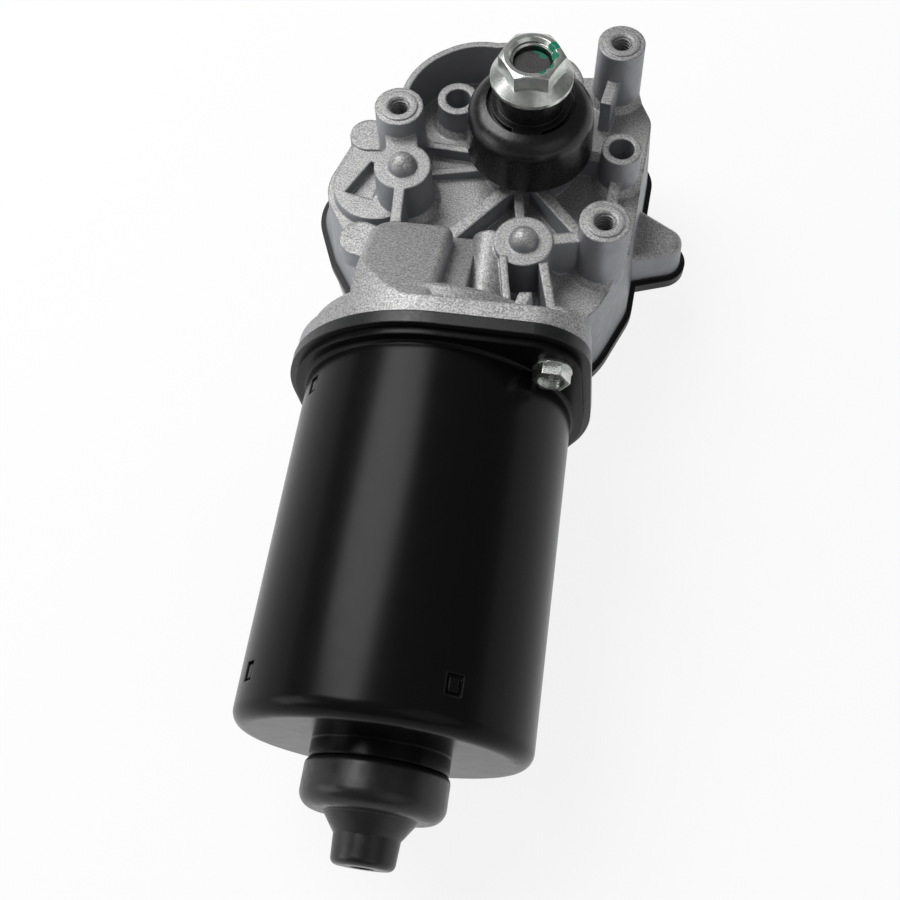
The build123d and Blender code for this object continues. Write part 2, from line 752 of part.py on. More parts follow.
# ================================================================ gears and pins
for name, spot in (("left", left_pin), ("right", right_pin)):
    with BuildPart() as counter_pin:
        post(spot, pin_boss_top - pin_end_cover, cover_bottom + 1, pin_radius)
    save(counter_pin, f"counter_pin_{name}")

left_angle = degrees(atan2(left_pin[1], left_pin[0]))
right_angle = degrees(atan2(right_pin[1], right_pin[0]))
tooth_step = 360 / output_teeth
teeth_between = round((right_angle - left_angle) / tooth_step)
right_tooth_lag = left_angle + teeth_between * tooth_step - right_angle
pinion_phase = {"left": left_angle + 180 + 180 / pinion_teeth,
                "right": (right_angle + 180 + 180 / pinion_teeth
                          - right_tooth_lag * output_teeth / pinion_teeth)}

with BuildPart() as output_gear:
    with BuildSketch(Plane.XY.offset(output_gear_bottom)):
        add(gear_sketch(output_teeth, left_angle))
        Circle(shaft_radius + snug_fit, mode=Mode.SUBTRACT)
    extrude(amount=output_face_width)
save(output_gear, "output_gear")

# one gap of a counter wheel, on the wheel's +X side, along the worm's lead
wheel_root_radius = wheel_pitch_radius - (1 + tip_clearance) * module
gap_radii = (wheel_root_radius, wheel_pitch_radius - module / 3, wheel_pitch_radius + module / 3,
             wheel_tip_radius + 0.5)
gap_halves = [r * (pi / wheel_teeth - tooth_half_angle(wheel_teeth, r)) for r in gap_radii]
for name, spot, hand in (("left", left_pin, 1), ("right", right_pin, -1)):
    with BuildPart() as counter_pinion:
        with BuildSketch(Plane.XY.offset(pinion_bottom)):
            with Locations(spot):
                add(gear_sketch(pinion_teeth, pinion_phase[name]))
                Circle(pin_radius + running_fit, mode=Mode.SUBTRACT)
        extrude(amount=pinion_face_width)
    save(counter_pinion, f"counter_pinion_{name}")

    along_tooth = Vector(0, hand * worm_lead_slope, 1)
    gap_plane = Plane(origin=(0, 0, 0), x_dir=(1, 0, 0), z_dir=along_tooth)
    with BuildPart() as wheel_gap:
        with BuildSketch(gap_plane):
            Polygon(*[(r, -half) for r, half in zip(gap_radii, gap_halves)],
                    *[(r, half) for r, half in reversed(list(zip(gap_radii, gap_halves)))],
                    align=None)
        extrude(amount=wheel_face_width, both=True)
    with BuildPart() as counter_wheel:
        with Locations((*spot, motor_z)):
            Cylinder(wheel_tip_radius, wheel_face_width)
            with PolarLocations(0, wheel_teeth, start_angle=0 if hand == 1 else 180):
                add(wheel_gap.part, mode=Mode.SUBTRACT)
            Cylinder(pin_radius + running_fit, wheel_face_width, mode=Mode.SUBTRACT)
    save(counter_wheel, f"counter_wheel_{name}")

# ================================================================ output shaft group
with BuildPart() as output_shaft:
    post((0, 0), taper_start, shaft_bottom, shaft_radius)
    with Locations((0, 0, taper_start)):
        Cone(shaft_radius, taper_end_radius, taper_end - taper_start,
             align=(Align.CENTER, Align.CENTER, Align.MIN))
    taper_tilt = degrees(atan2(shaft_radius - taper_end_radius, taper_end - taper_start))
    groove_radius = (shaft_radius + taper_end_radius) / 2 + serration_width / sqrt(2)
    with Locations((0, 0, (taper_start + taper_end) / 2)):
        with PolarLocations(groove_radius - serration_depth, serration_count):
            Box(serration_width, serration_width, taper_end - taper_start - 1,
                rotation=(0, -taper_tilt, 45), mode=Mode.SUBTRACT)
    post((0, 0), shaft_top, taper_end, thread_radius)
    chamfer(output_shaft.edges().sort_by(Axis.Z)[-1], shaft_end_chamfer)
    with BuildSketch(Plane.XY.offset(circlip_bottom)):
        Circle(shaft_radius + 1)
        Circle(shaft_radius - circlip_groove_depth, mode=Mode.SUBTRACT)
    extrude(amount=circlip_thickness, mode=Mode.SUBTRACT)
save(output_shaft, "output_shaft")

with BuildPart() as circlip:
    with BuildSketch(Plane.XY.offset(circlip_bottom + snug_fit)):
        Circle(circlip_radius)
        Circle(shaft_radius - circlip_groove_depth + snug_fit, mode=Mode.SUBTRACT)
        with Locations((0, -circlip_radius)):
            Rectangle(shaft_radius, 2 * (circlip_radius - shaft_radius + 1), mode=Mode.SUBTRACT)
    extrude(amount=circlip_thickness - 2 * snug_fit)
save(circlip, "circlip")

with BuildPart() as shaft_washer:
    with BuildSketch(Plane.XY.offset(washer_bottom)):
        Circle(washer_radius)
        Circle(shaft_radius + snug_fit, mode=Mode.SUBTRACT)
    extrude(amount=washer_thickness)
save(shaft_washer, "shaft_washer")

with BuildPart() as contact_ring:
    with BuildSketch(Plane.XY.offset(output_gear_bottom - contact_ring_thickness)):
        Circle(contact_ring_outer)
        Circle(contact_ring_inner, mode=Mode.SUBTRACT)
        with Locations((contact_ring_outer, 0)):
            Rectangle(park_gap_length, park_gap_width, mode=Mode.SUBTRACT)
    extrude(amount=contact_ring_thickness)
save(contact_ring, "contact_ring")

for name, top in (("upper", centre_boss_top - oring_room), ("lower", inner_boss_bottom
                                                            + shaft_bush_length)):
    with BuildPart() as shaft_bush:
        with BuildSketch(Plane.XY.offset(top - shaft_bush_length)):
            Circle(shaft_bush_radius)
            Circle(shaft_radius + running_fit, mode=Mode.SUBTRACT)
        extrude(amount=shaft_bush_length)
    save(shaft_bush, f"shaft_bush_{name}")

with BuildPart() as o_ring:
    with Locations((0, 0, centre_boss_top - oring_room + oring_section_radius)):
        Torus((shaft_radius + shaft_bush_radius) / 2, oring_section_radius)
save(o_ring, "o_ring")

# ================================================================ park switch
carrier_top = cover_inside + carrier_thickness
contact_level = output_gear_bottom - contact_ring_thickness - running_fit
with BuildPart() as contact_carrier:
    with Locations((-3, contact_carrier_y, cover_inside)):
        Box(24, 11, carrier_thickness, align=(Align.CENTER, Align.CENTER, Align.MIN))
save(contact_carrier, "contact_carrier")

with BuildPart() as park_contacts:
    with BuildSketch(Plane.XZ.offset(-contact_carrier_y + contact_strip_width / 2)):
        Polygon((-14, carrier_top), (-9, carrier_top), (2, contact_level - contact_strip_thickness),
                (5, contact_level - contact_strip_thickness), (5, contact_level),
                (1.8, contact_level), (-9.2, carrier_top + contact_strip_thickness),
                (-14, carrier_top + contact_strip_thickness), align=None)
    extrude(amount=-contact_strip_width)
    strip = park_contacts.part
    for step in (-1, 1):
        with Locations((0, step * contact_strip_pitch, 0)):
            add(strip)
save(park_contacts, "park_contacts")

# ================================================================ motor can and its plate
with BuildPart() as brush_plate:
    with BuildSketch(axial(collar_front)):
        add(lobed_outline(plate_radius, plate_lobe_radius))
        Circle(plate_bore_radius, mode=Mode.SUBTRACT)
    extrude(amount=plate_thickness)
    for spot in can_screw_spots:
        side_post(spot, collar_front, flange_back, can_screw_radius + screw_hole_gap,
                  mode=Mode.SUBTRACT)
save(brush_plate, "brush_plate")

with BuildPart() as motor_can:
    tube(flange_back, can_end, can_radius)
    fillet(motor_can.edges().sort_by(Axis.Y)[0], can_end_round)
    with BuildSketch(axial(flange_back)):
        add(lobed_outline(can_flange_radius, flange_lobe_radius))
    extrude(amount=can_flange_thickness)
    fillet(motor_can.edges().filter_by(GeomType.CIRCLE).filter_by(
        lambda edge: abs(edge.radius - can_radius) < 0.01
        and abs(edge.center().Y - flange_front) < 0.01), can_flange_round)
    tube(can_end + 1, can_boss_end, can_boss_radius)
    tube(can_boss_end, can_spigot_end, can_spigot_radius)
    tube(flange_back, can_end + can_wall, can_radius - can_wall, mode=Mode.SUBTRACT)
    tube(can_end + can_wall, can_spigot_end + can_wall, rear_bush_radius + snug_fit,
         mode=Mode.SUBTRACT)
    for spot in can_screw_spots:
        side_post(spot, flange_back, flange_front, can_screw_radius + screw_hole_gap,
                  mode=Mode.SUBTRACT)
    for angle, y in lances:
        outward = (cos(radians(angle)), 0, sin(radians(angle)))
        across = Plane(origin=(motor_x + can_radius * outward[0], y,
                               motor_z + can_radius * outward[2]), x_dir=(0, 1, 0), z_dir=outward)
        with Locations(across.location):
            Box(lance_length, lance_width, 2 * lance_depth, mode=Mode.SUBTRACT)
            with Locations((0, 0, -lance_tab_depth)):
                Box(lance_length - 2 * lance_frame, lance_width - 2 * lance_frame, can_wall,
                    align=(Align.CENTER, Align.CENTER, Align.MAX))
save(motor_can, "motor_can")

with BuildPart() as can_screws:
    for spot in can_screw_spots:
        side_post(spot, flange_front + can_screw_length, flange_front, can_screw_radius)
        side_post(spot, flange_front, flange_front - can_screw_washer_thickness,
                  can_screw_washer_radius)
        head_back = flange_front - can_screw_washer_thickness
        with BuildSketch(Plane(origin=(spot[0], head_back, spot[1]), x_dir=(1, 0, 0),
                               z_dir=(0, -1, 0))):
            RegularPolygon(can_screw_head_flats / 2, 6, major_radius=False)
        extrude(amount=can_screw_head_height)
        head_front = head_back - can_screw_head_height
        side_post(spot, head_front + can_screw_dish, head_front,
                  can_screw_head_flats / 2 - can_screw_dish, mode=Mode.SUBTRACT)
        with Locations((spot[0], head_front + can_screw_dish, spot[1])):
            Box(can_screw_head_flats / 2, 2 * can_screw_dish, cross_slot_width,
                mode=Mode.SUBTRACT)
            Box(cross_slot_width, 2 * can_screw_dish, can_screw_head_flats / 2,
                mode=Mode.SUBTRACT)
save(can_screws, "can_screws")

motor_axis = Axis((motor_x, 0, motor_z), (0, 1, 0))
motor_profile = Plane(origin=(motor_x, 0, motor_z), x_dir=(1, 0, 0), z_dir=(0, 0, 1))
with BuildPart() as vent_boot:
    tube(can_boss_end - snug_fit, boot_cap_end, boot_cap_radius)
    rim_edges = vent_boot.edges().filter_by(GeomType.CIRCLE).sort_by(Axis.Y)
    fillet(rim_edges[0], boot_cap_front_round)
    fillet(vent_boot.edges().filter_by(GeomType.CIRCLE).sort_by(Axis.Y)[-1], boot_cap_back_round)
    with BuildSketch(motor_profile):
        Polygon((0, boot_cap_end + 1), (boot_nozzle_base_radius + 0.6, boot_cap_end + 1),
                (boot_nozzle_base_radius, boot_cap_end), (boot_nozzle_mid_radius, boot_nozzle_mid),
                (boot_nozzle_radius, boot_end), (0, boot_end), align=None)
    revolve(axis=motor_axis)
    fillet(vent_boot.edges().sort_by(Axis.Y)[0], boot_end_round)
    tube(can_boss_end, can_spigot_end - snug_fit, can_spigot_radius + snug_fit, mode=Mode.SUBTRACT)
    tube(can_spigot_end, boot_end + boot_wall, boot_nozzle_radius - boot_wall, mode=Mode.SUBTRACT)
    tube(boot_end + 3, boot_end, boot_vent_radius, mode=Mode.SUBTRACT)
save(vent_boot, "vent_boot")

with BuildPart() as field_magnets:
    with BuildSketch(axial(magnet_front)):
        Circle(magnet_radius)
        Circle(magnet_radius - magnet_thickness, mode=Mode.SUBTRACT)
        reach = 2 * magnet_radius
        opening = reach * tan(radians((180 - magnet_arc) / 2))
        for side in (1, -1):
            Polygon((0, 0), (side * reach, -opening), (side * reach, opening), align=None,
                    mode=Mode.SUBTRACT)
    extrude(amount=magnet_front - magnet_back)
save(field_magnets, "field_magnets")

# ================================================================ armature
with BuildPart() as worm_thread_left:
    with BuildLine() as left_helix:
        Helix(pitch=worm_pitch, height=worm_turns * worm_pitch, radius=worm_pitch_radius)
    crest = (pi * module / 2 - backlash) / 2 - (worm_tip_radius - worm_pitch_radius) * tan(
        pressure_angle)
    root = (pi * module / 2 - backlash) / 2 + (worm_pitch_radius - worm_root_radius) * tan(
        pressure_angle)
    start = left_helix.line @ 0
    with BuildSketch(Plane(origin=start, x_dir=(1, 0, 0), z_dir=left_helix.line % 0)):
        Polygon((worm_root_radius - worm_pitch_radius - 0.2, -root - 0.07),
                (worm_tip_radius - worm_pitch_radius, -crest),
                (worm_tip_radius - worm_pitch_radius, crest),
                (worm_root_radius - worm_pitch_radius - 0.2, root + 0.07), align=None)
    sweep(path=left_helix.line, is_frenet=True)

with BuildPart() as worm_thread_right:
    mirror(worm_thread_left.part, about=Plane.YZ)

thread_start = worm_turns * worm_pitch / 2
with BuildPart() as armature_shaft:
    tube(worm_tip_end, left_pin[1] + thread_start + 1.5, worm_tip_pin_radius)
    tube(left_pin[1] + thread_start + 1.5, right_pin[1] - thread_start - 1.5, worm_root_radius)
    tube(right_pin[1] - thread_start - 1.5, armature_shaft_end, armature_shaft_radius)
    with Locations(Plane(origin=(motor_x, left_pin[1] - thread_start, motor_z), x_dir=(1, 0, 0),
                         z_dir=(0, 1, 0)).location):
        add(worm_thread_left.part)
    with Locations(Plane(origin=(motor_x, right_pin[1] - thread_start, motor_z),
                         x_dir=(1, 0, 0), z_dir=(0, 1, 0)).location):
        add(worm_thread_right.part)
save(armature_shaft, "armature_shaft")

with BuildPart() as armature_core:
    with BuildSketch(axial(core_front)):
        Circle(core_radius)
        Circle(armature_shaft_radius + snug_fit, mode=Mode.SUBTRACT)
        with PolarLocations(core_radius - core_slot_depth / 2, core_slots):
            Rectangle(core_slot_depth + 0.5, core_slot_width, mode=Mode.SUBTRACT)
    extrude(amount=core_front - core_back)
save(armature_core, "armature_core")

with BuildPart() as armature_windings:
    for end in (core_front + winding_overhang, core_back):
        with BuildSketch(axial(end)):
            Circle(winding_radius)
            Circle(winding_inner_radius, mode=Mode.SUBTRACT)
        extrude(amount=winding_overhang)
    with BuildSketch(axial(core_front)):
        with PolarLocations(core_radius - core_slot_depth / 2 - winding_slot_gap, core_slots):
            Rectangle(core_slot_depth - 2 * winding_slot_gap, core_slot_width - winding_slot_gap)
    extrude(amount=core_front - core_back)
save(armature_windings, "armature_windings")

with BuildPart() as commutator:
    with BuildSketch(axial(commutator_front)):
        Circle(commutator_radius)
        Circle(armature_shaft_radius + snug_fit, mode=Mode.SUBTRACT)
        with PolarLocations(commutator_radius, commutator_bars):
            Rectangle(2 * commutator_slit_depth, commutator_slit, mode=Mode.SUBTRACT)
    extrude(amount=commutator_front - commutator_back)
save(commutator, "commutator")

for name, outer, inner in (
        ("front_bearing_outer", bearing_radius, bearing_radius - bearing_ring_thickness),
        ("front_bearing_inner", armature_shaft_radius + snug_fit + bearing_ring_thickness,
         armature_shaft_radius + snug_fit)):
    with BuildPart() as ring:
        with BuildSketch(axial(bearing_back)):
            Circle(outer)
            Circle(inner, mode=Mode.SUBTRACT)
        extrude(amount=bearing_width)
    save(ring, name)

ball_track_inner = armature_shaft_radius + snug_fit + bearing_ring_thickness
ball_track_outer = bearing_radius - bearing_ring_thickness
ball_plane = axial(bearing_back - bearing_width / 2)
with BuildPart() as bearing_balls:
    with Locations(ball_plane.location):
        with PolarLocations((ball_track_inner + ball_track_outer) / 2, bearing_ball_count):
            Sphere((ball_track_outer - ball_track_inner) / 2 - running_fit)
save(bearing_balls, "bearing_balls")

with BuildPart() as worm_bush:
    tube(tip_block_front + worm_bush_length, tip_block_front, worm_bush_radius)
    tube(tip_block_front + worm_bush_length, tip_block_front,
         worm_tip_pin_radius + running_fit, mode=Mode.SUBTRACT)
save(worm_bush, "worm_bush")

ball_centre = worm_tip_end + running_fit + thrust_ball_radius
with BuildPart() as thrust_ball:
    with Locations((motor_x, ball_centre, motor_z)):
        Sphere(thrust_ball_radius)
save(thrust_ball, "thrust_ball")

with BuildPart() as thrust_plug:
    tube(worm_bush_start, ball_centre + thrust_ball_radius + snug_fit, worm_bush_radius)
save(thrust_plug, "thrust_plug")

with BuildPart() as rear_bush:
    tube(rear_bush_end + rear_bush_length, rear_bush_end + snug_fit, rear_bush_radius)
    tube(rear_bush_end + rear_bush_length, rear_bush_end + snug_fit,
         armature_shaft_radius + running_fit, mode=Mode.SUBTRACT)
save(rear_bush, "rear_bush")

# ================================================================ brush gear
brush_y = flange_back - brush_tube_wall - brush_depth / 2
brush_planes = [Plane(origin=(motor_x, brush_y, motor_z),
                      x_dir=(cos(radians(angle)), 0, sin(radians(angle))), z_dir=(0, -1, 0))
                for angle in brush_angles]
with BuildPart() as brush_tubes:
    for plane in brush_planes:
        with Locations((plane * Location((brush_tube_start, 0, 0)))):
            Box(brush_tube_length, brush_width + 2 * (brush_tube_wall + snug_fit),
                brush_depth + 2 * brush_tube_wall, align=(Align.MIN, Align.CENTER, Align.CENTER))
            Box(brush_tube_length - brush_tube_wall, brush_width + 2 * snug_fit,
                brush_depth - snug_fit, align=(Align.MIN, Align.CENTER, Align.CENTER),
                mode=Mode.SUBTRACT)
save(brush_tubes, "brush_tubes")

with BuildPart() as brushes:
    for plane in brush_planes:
        with Locations((plane * Location((commutator_radius - 1, 0, 0)))):
            Box(brush_length + 1, brush_width, brush_depth - 3 * snug_fit,
                align=(Align.MIN, Align.CENTER, Align.CENTER))
    tube(brush_y + brush_depth, brush_y - brush_depth, commutator_radius + running_fit,
         mode=Mode.SUBTRACT)
save(brushes, "brushes")

spring_start = commutator_radius + brush_length
spring_length = brush_tube_start + brush_tube_length - brush_tube_wall - spring_start
with BuildPart() as one_spring:
    with BuildLine() as coil:
        Helix(pitch=(spring_length - 2 * spring_wire) / spring_turns,
              height=spring_length - 2 * spring_wire, radius=spring_radius)
    with BuildSketch(Plane(origin=coil.line @ 0, z_dir=coil.line % 0)):
        Circle(spring_wire / 2)
    sweep(path=coil.line, is_frenet=True)
with BuildPart() as brush_springs:
    for plane in brush_planes:
        outward = Plane(origin=plane.origin + plane.x_dir * (spring_start + spring_wire),
                        x_dir=(0, 1, 0), z_dir=plane.x_dir)
        with Locations(outward.location):
            add(one_spring.part)
save(brush_springs, "brush_springs")

with BuildPart() as chokes:
    for angle in choke_angles:
        spot = (motor_x + choke_distance * cos(radians(angle)),
                motor_z + choke_distance * sin(radians(angle)))
        side_post(spot, flange_back, flange_back - choke_length, choke_radius)
        side_post(spot, flange_back - choke_end_bare, flange_back - choke_length + choke_end_bare,
              choke_radius + choke_wire)
save(chokes, "chokes")

# ================================================================ shaft cap and crank nut
with BuildPart() as shaft_cap:
    with BuildSketch(Plane.XZ):
        with BuildLine():
            Polyline((cap_skirt_bore, cap_bottom), (cap_radius, cap_bottom),
                     (cap_radius - cap_wall_lean, cap_shoulder),
                     (cap_step_radius, cap_step_top), (cap_neck_radius, cap_step_top),
                     (cap_neck_radius, cap_neck_top), (shaft_radius + cap_bore_gap, cap_neck_top),
                     (shaft_radius + cap_bore_gap, cap_ceiling), (cap_skirt_bore, cap_ceiling),
                     close=True)
        make_face()
    revolve(axis=Axis.Z)
    fillet(shaft_cap.edges().filter_by(GeomType.CIRCLE).filter_by(
        lambda edge: abs(edge.radius - cap_radius + cap_wall_lean) < 0.01), cap_shoulder_round)
    with BuildSketch(Plane.XY.offset(cap_step_top - cap_groove_depth)):
        Circle(cap_step_radius)
        Circle(cap_step_radius - cap_groove_width, mode=Mode.SUBTRACT)
        with Locations((0, -cap_step_radius)):
            Rectangle(cap_tab_width, 4 * cap_groove_width, mode=Mode.SUBTRACT)
    extrude(amount=2 * cap_groove_depth, mode=Mode.SUBTRACT)
save(shaft_cap, "shaft_cap")

with BuildPart() as nut_hexagon:
    with BuildSketch(Plane.XY.offset(nut_bottom)):
        RegularPolygon(nut_flats / 2, 6, major_radius=False, rotation=nut_turn)
    extrude(amount=nut_top - nut_bottom)
    with BuildSketch(Plane.XZ) as crown:
        Polygon((0, nut_bottom), (nut_flats, nut_bottom), (nut_flats, nut_top - nut_crown_drop),
                (nut_flats / 2 - 0.2, nut_top), (0, nut_top), align=None)
    revolve(axis=Axis.Z, mode=Mode.INTERSECT)
with BuildPart() as crank_nut:
    with BuildSketch(Plane.XZ):
        Polygon((0, nut_bottom), (nut_flange_radius, nut_bottom),
                (nut_flange_radius, nut_bottom + nut_flange_rim),
                (nut_flats / 2, nut_bottom + nut_flange_height), (0, nut_bottom + nut_flange_height),
                align=None)
    revolve(axis=Axis.Z)
    add(nut_hexagon.part)
    post((0, 0), nut_top, nut_bottom, thread_radius + running_fit, mode=Mode.SUBTRACT)
    chamfer(crank_nut.edges().filter_by(GeomType.CIRCLE).filter_by(
        lambda edge: abs(edge.radius - thread_radius - running_fit) < 0.001
        and edge.center().Z > nut_top - 0.1), nut_mouth_chamfer)
save(crank_nut, "crank_nut")
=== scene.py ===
"""Looks of the windscreen wiper gear motor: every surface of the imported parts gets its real
finish, and the small details that are too fine for the parts themselves are modelled here."""
from math import pi, radians

import bpy
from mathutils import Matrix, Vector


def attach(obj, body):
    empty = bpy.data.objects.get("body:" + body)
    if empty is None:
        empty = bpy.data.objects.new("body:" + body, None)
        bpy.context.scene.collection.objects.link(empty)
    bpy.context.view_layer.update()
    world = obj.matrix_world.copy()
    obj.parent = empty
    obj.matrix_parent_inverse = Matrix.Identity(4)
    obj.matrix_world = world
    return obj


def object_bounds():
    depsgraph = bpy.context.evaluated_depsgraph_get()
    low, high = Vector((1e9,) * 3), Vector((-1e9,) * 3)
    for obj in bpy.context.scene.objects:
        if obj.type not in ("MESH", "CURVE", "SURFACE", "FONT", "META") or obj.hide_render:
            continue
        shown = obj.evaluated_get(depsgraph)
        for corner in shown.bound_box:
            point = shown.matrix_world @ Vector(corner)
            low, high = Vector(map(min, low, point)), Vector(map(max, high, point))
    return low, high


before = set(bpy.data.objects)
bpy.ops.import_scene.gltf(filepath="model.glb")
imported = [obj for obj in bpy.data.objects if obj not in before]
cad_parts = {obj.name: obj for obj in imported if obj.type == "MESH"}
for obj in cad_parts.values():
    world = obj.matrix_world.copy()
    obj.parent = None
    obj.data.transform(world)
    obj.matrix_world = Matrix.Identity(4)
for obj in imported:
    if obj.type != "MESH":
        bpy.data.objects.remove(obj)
cad_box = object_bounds()
scene = bpy.context.scene
scene.view_settings.view_transform = "Standard"

MM = 0.001

# ---------------------------------------------------------------- camera
# A standard lens above and in front of the motor's free end, turned a little to the right,
# so that the gear case is at the top and the motor points down and towards the viewer.
camera_data = bpy.data.cameras.new("camera")
camera_data.sensor_width = 36
camera_data.lens = 44.377
camera_data.shift_x = -0.0319
camera_data.shift_y = -0.0317
camera_data.clip_start = 0.01
camera = bpy.data.objects.new("camera", camera_data)
camera.location = (0.0165149, -0.1915576, 0.2156222)
camera.rotation_euler = (radians(26.40683), radians(1.08931), radians(7.58019))
scene.collection.objects.link(camera)
scene.camera = camera

# ---------------------------------------------------------------- soft studio light
# Soft boxes: the key high behind the left side, so that the upper faces shine on the left
# and fade to the right, a wide fill in front on the right, and a strip low on the left that
# draws the edge of the black parts.
for name, place, size, watts in (
        ("key_light", (-0.45, 0.25, 0.8), 0.6, 8.5),
        ("fill_light", (0.65, -0.55, 0.8), 0.9, 1.4),
        ("edge_light", (-0.8, -0.35, 0.3), 0.45, 1.6)):
    lamp_data = bpy.data.lights.new(name, "AREA")
    lamp_data.shape = "SQUARE"
    lamp_data.size = size
    lamp_data.energy = watts
    lamp = bpy.data.objects.new(name, lamp_data)
    lamp.location = place
    aim = -lamp.location
    lamp.rotation_euler = aim.to_track_quat("-Z", "Y").to_euler()
    scene.collection.objects.link(lamp)

# The room is a plain dim grey.
world = bpy.data.worlds.new("room")
world.use_nodes = True
scene.world = world
background = world.node_tree.nodes["Background"]
background.inputs["Color"].default_value = (1, 1, 1, 1)
background.inputs["Strength"].default_value = 0.2

# ---------------------------------------------------------------- floor
# A plain white table top under the part, with a low white backdrop far round it. It shines
# by itself to the camera and in polished metal, so that it stays white, and the rest of its
# white takes the part's soft shadow.
floor_reach = 8.0
backdrop_height = 2.0
floor_glow = 0.86
floor_z = cad_box[0][2]
bpy.ops.object.select_all(action="DESELECT")
bpy.ops.mesh.primitive_plane_add(size=2 * floor_reach, location=(0, 0, floor_z))
floor = bpy.context.active_object
floor.name = "floor"
bpy.ops.object.mode_set(mode="EDIT")
bpy.ops.mesh.select_mode(type="EDGE")
bpy.ops.mesh.select_all(action="SELECT")
bpy.ops.mesh.extrude_edges_move(TRANSFORM_OT_translate={"value": (0, 0, backdrop_height)})
bpy.ops.object.mode_set(mode="OBJECT")
floor_white = bpy.data.materials.new("floor_white")
floor_white.use_nodes = True
tree = floor_white.node_tree
matt = tree.nodes["Principled BSDF"]
matt.inputs["Base Color"].default_value = (0.9, 0.9, 0.9, 1)
matt.inputs["Roughness"].default_value = 0.9
glow = tree.nodes.new("ShaderNodeEmission")
glow.inputs["Strength"].default_value = 1.0
ray = tree.nodes.new("ShaderNodeLightPath")
seen = tree.nodes.new("ShaderNodeMath")
seen.operation = "MAXIMUM"
tree.links.new(ray.outputs["Is Camera Ray"], seen.inputs[0])
tree.links.new(ray.outputs["Is Glossy Ray"], seen.inputs[1])
seen_or_through = tree.nodes.new("ShaderNodeMath")
seen_or_through.operation = "MAXIMUM"
tree.links.new(seen.outputs[0], seen_or_through.inputs[0])
tree.links.new(ray.outputs["Is Transmission Ray"], seen_or_through.inputs[1])
share = tree.nodes.new("ShaderNodeMath")
share.operation = "MULTIPLY"
share.inputs[1].default_value = floor_glow
tree.links.new(seen_or_through.outputs[0], share.inputs[0])
blend = tree.nodes.new("ShaderNodeMixShader")
tree.links.new(share.outputs[0], blend.inputs["Fac"])
tree.links.new(matt.outputs[0], blend.inputs[1])
tree.links.new(glow.outputs[0], blend.inputs[2])
tree.links.new(blend.outputs[0], tree.nodes["Material Output"].inputs["Surface"])
floor.data.materials.append(floor_white)


# ---------------------------------------------------------------- gear housing
# One pressure die casting in aluminium, blasted after casting, so that its skin is a fine
# silvery grain; its walls are painted a plain, darker grey as shade.
# It carries the bosses, ribs, bell and the chamber for the brush leads.
def start_material(name, colour, metallic, roughness):
    """A new material with the values that are the same all over it."""
    material = bpy.data.materials.new(name)
    material.use_nodes = True
    shader = material.node_tree.nodes["Principled BSDF"]
    shader.inputs["Base Color"].default_value = (*colour, 1)
    shader.inputs["Metallic"].default_value = metallic
    shader.inputs["Roughness"].default_value = roughness
    material.diffuse_color = (*colour, 1)
    return material, shader


def add_noise(material, size, detail=2.0, stretch=(1, 1, 1)):
    """Noise fixed to the piece, with grains of the given size in metres."""
    tree = material.node_tree
    place = tree.nodes.new("ShaderNodeTexCoord")
    scaled = tree.nodes.new("ShaderNodeMapping")
    scaled.inputs["Scale"].default_value = stretch
    noise = tree.nodes.new("ShaderNodeTexNoise")
    noise.inputs["Scale"].default_value = 1 / size
    noise.inputs["Detail"].default_value = detail
    tree.links.new(place.outputs["Object"], scaled.inputs["Vector"])
    tree.links.new(scaled.outputs["Vector"], noise.inputs["Vector"])
    return noise.outputs["Fac"]


def remap(material, value, low, high, from_low=0.3, from_high=0.7):
    """The value stretched from its usual spread to the range low to high."""
    tree = material.node_tree
    step = tree.nodes.new("ShaderNodeMapRange")
    step.inputs["From Min"].default_value = from_low
    step.inputs["From Max"].default_value = from_high
    step.inputs["To Min"].default_value = low
    step.inputs["To Max"].default_value = high
    tree.links.new(value, step.inputs["Value"])
    return step.outputs["Result"]


def add_tint(material, shader, value, dark, light):
    """Base colour that goes from dark to light with the value."""
    tree = material.node_tree
    ramp = tree.nodes.new("ShaderNodeValToRGB")
    ramp.color_ramp.elements[0].position = 0.3
    ramp.color_ramp.elements[0].color = (*dark, 1)
    ramp.color_ramp.elements[1].position = 0.7
    ramp.color_ramp.elements[1].color = (*light, 1)
    tree.links.new(value, ramp.inputs["Fac"])
    tree.links.new(ramp.outputs["Color"], shader.inputs["Base Color"])


def add_bump(material, shader, height, depth, edge_round=0.0):
    """Relief of the given depth in metres, over edges softened by edge_round."""
    tree = material.node_tree
    bump = tree.nodes.new("ShaderNodeBump")
    bump.inputs["Distance"].default_value = depth
    tree.links.new(height, bump.inputs["Height"])
    if edge_round:
        soft = tree.nodes.new("ShaderNodeBevel")
        soft.samples = 6
        soft.inputs["Radius"].default_value = edge_round
        tree.links.new(soft.outputs["Normal"], bump.inputs["Normal"])
    tree.links.new(bump.outputs["Normal"], shader.inputs["Normal"])


def dress(material, *node_names):
    """Give CAD nodes this material in every slot."""
    for node_name in node_names:
        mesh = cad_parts[node_name].data
        mesh.materials.clear()
        mesh.materials.append(material)


def upward_share(material, low, high):
    """0 on the walls of a piece and 1 on the faces that look up."""
    tree = material.node_tree
    place = tree.nodes.new("ShaderNodeTexCoord")
    axes = tree.nodes.new("ShaderNodeSeparateXYZ")
    tree.links.new(place.outputs["Normal"], axes.inputs["Vector"])
    return remap(material, axes.outputs["Z"], 0.0, 1.0, low, high)


